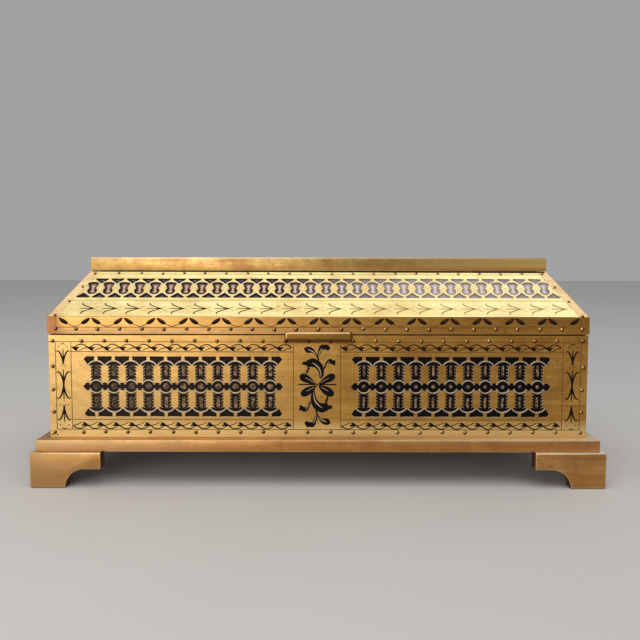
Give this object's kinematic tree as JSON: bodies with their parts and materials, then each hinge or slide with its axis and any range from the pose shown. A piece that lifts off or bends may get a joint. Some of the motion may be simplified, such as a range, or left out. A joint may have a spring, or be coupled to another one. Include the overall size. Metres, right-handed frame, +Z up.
{
  "type": "brass-clad casket",
  "caption": "Long wooden casket clad in pierced and engraved sheet brass, with a hipped hinged lid, a flat slab on top, a plain plinth and bracket feet.",
  "frame": {"origin": "on the table, under the middle of the casket", "axes": "+X along the length to the viewer's right, +Y from the front to the hinged back, +Z up"},
  "size_m": [0.3166, 0.1366, 0.127],
  "materials": {
    "pattern_brass": "polished, engraved and pierced, lightly tarnished",
    "plain_brass": "polished, redder, lightly tarnished",
    "hinge_brass": "satin",
    "black_veneer": "black, semi-gloss, worn",
    "carcass_wood": "smooth, waxed"
  },
  "bodies": {
    "box": {"bottom_board": "carcass_wood", "front_board": "carcass_wood", "right_board": "carcass_wood", "back_board": "carcass_wood", "left_board": "carcass_wood", "front_ground": "black_veneer", "right_ground": "black_veneer", "back_ground": "black_veneer", "left_ground": "black_veneer", "front_plate": "pattern_brass", "right_plate": "pattern_brass", "back_plate": "pattern_brass", "left_plate": "pattern_brass", "plinth_board": "carcass_wood", "plinth_cladding": "plain_brass", "foot_block_front_left": "carcass_wood", "foot_block_front_right": "carcass_wood", "foot_block_back_right": "carcass_wood", "foot_block_back_left": "carcass_wood", "foot_plate_front_left": "plain_brass", "foot_plate_front_right": "plain_brass", "foot_plate_back_right": "plain_brass", "foot_plate_back_left": "plain_brass", "hinge_leaf_left": "hinge_brass", "hinge_leaf_right": "hinge_brass", "hinge_pin_left": "hinge_brass", "hinge_pin_right": "hinge_brass", "body_screw_left_1": "hinge_brass", "body_screw_left_2": "hinge_brass", "body_screw_right_1": "hinge_brass", "body_screw_right_2": "hinge_brass"},
    "lid": {"lid_front_rim_board": "carcass_wood", "lid_right_rim_board": "carcass_wood", "lid_back_rim_board": "carcass_wood", "lid_left_rim_board": "carcass_wood", "lid_front_slope_board": "carcass_wood", "lid_right_slope_board": "carcass_wood", "lid_back_slope_board": "carcass_wood", "lid_left_slope_board": "carcass_wood", "lid_front_slope_ground": "black_veneer", "lid_right_slope_ground": "black_veneer", "lid_back_slope_ground": "black_veneer", "lid_left_slope_ground": "black_veneer", "lid_front_rim_plate": "pattern_brass", "lid_right_rim_plate": "pattern_brass", "lid_back_rim_plate": "pattern_brass", "lid_left_rim_plate": "pattern_brass", "lid_front_slope_plate": "pattern_brass", "lid_right_slope_plate": "pattern_brass", "lid_back_slope_plate": "pattern_brass", "lid_left_slope_plate": "pattern_brass", "top_board": "carcass_wood", "top_cladding": "plain_brass", "lift_tab": "plain_brass", "lid_leaf_left": "hinge_brass", "lid_leaf_right": "hinge_brass", "lid_screw_left_1": "hinge_brass", "lid_screw_left_2": "hinge_brass", "lid_screw_right_1": "hinge_brass", "lid_screw_right_2": "hinge_brass"}
  },
  "joints": [
    {"name": "lid_hinge", "type": "hinge", "parent": "box", "child": "lid", "pos_m": [0, 0.0622, 0.0842], "axis": [-1, 0, 0], "range_deg": [0, 100]}
  ]
}
